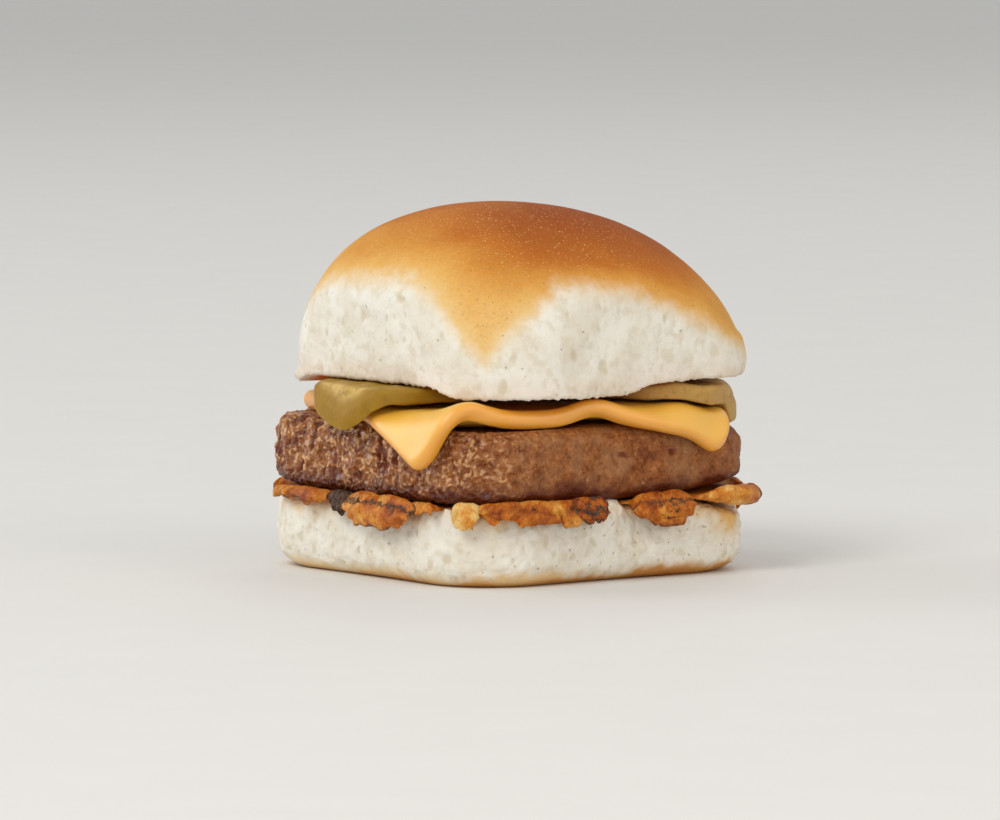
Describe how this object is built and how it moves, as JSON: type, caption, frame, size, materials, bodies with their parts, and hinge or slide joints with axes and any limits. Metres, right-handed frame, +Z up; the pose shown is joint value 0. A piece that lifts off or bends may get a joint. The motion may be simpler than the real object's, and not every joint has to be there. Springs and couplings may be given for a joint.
{
  "type": "cheeseburger",
  "caption": "Small square cheeseburger on a pull-apart roll: a domed crown with torn white sides, pickles, melted cheese, a thick beef patty, fried onions and a heel.",
  "frame": {"origin": "on the surface that the burger stands on, under the middle of the heel", "axes": "+Z up through the stack; X and Y square to the roll's torn sides, with the corner that shows to the front at +X -Y"},
  "size_m": [0.0703, 0.0708, 0.0609],
  "materials": {
    "roll_crust": "baked golden brown crust over white torn crumb",
    "roll_crumb": "white torn crumb with a thin light brown underside",
    "beef": "coarse griddled minced beef, moist",
    "cheese": "smooth melted cheese, satin",
    "pickle": "wet brined cucumber, slightly see-through",
    "fried_onion": "fried golden brown with charred edges, oily"
  },
  "bodies": {
    "root": {"heel": "roll_crumb", "onions": "fried_onion", "patty": "beef", "cheese": "cheese", "pickle_left": "pickle", "pickle_right": "pickle", "crown": "roll_crust"}
  },
  "joints": []
}
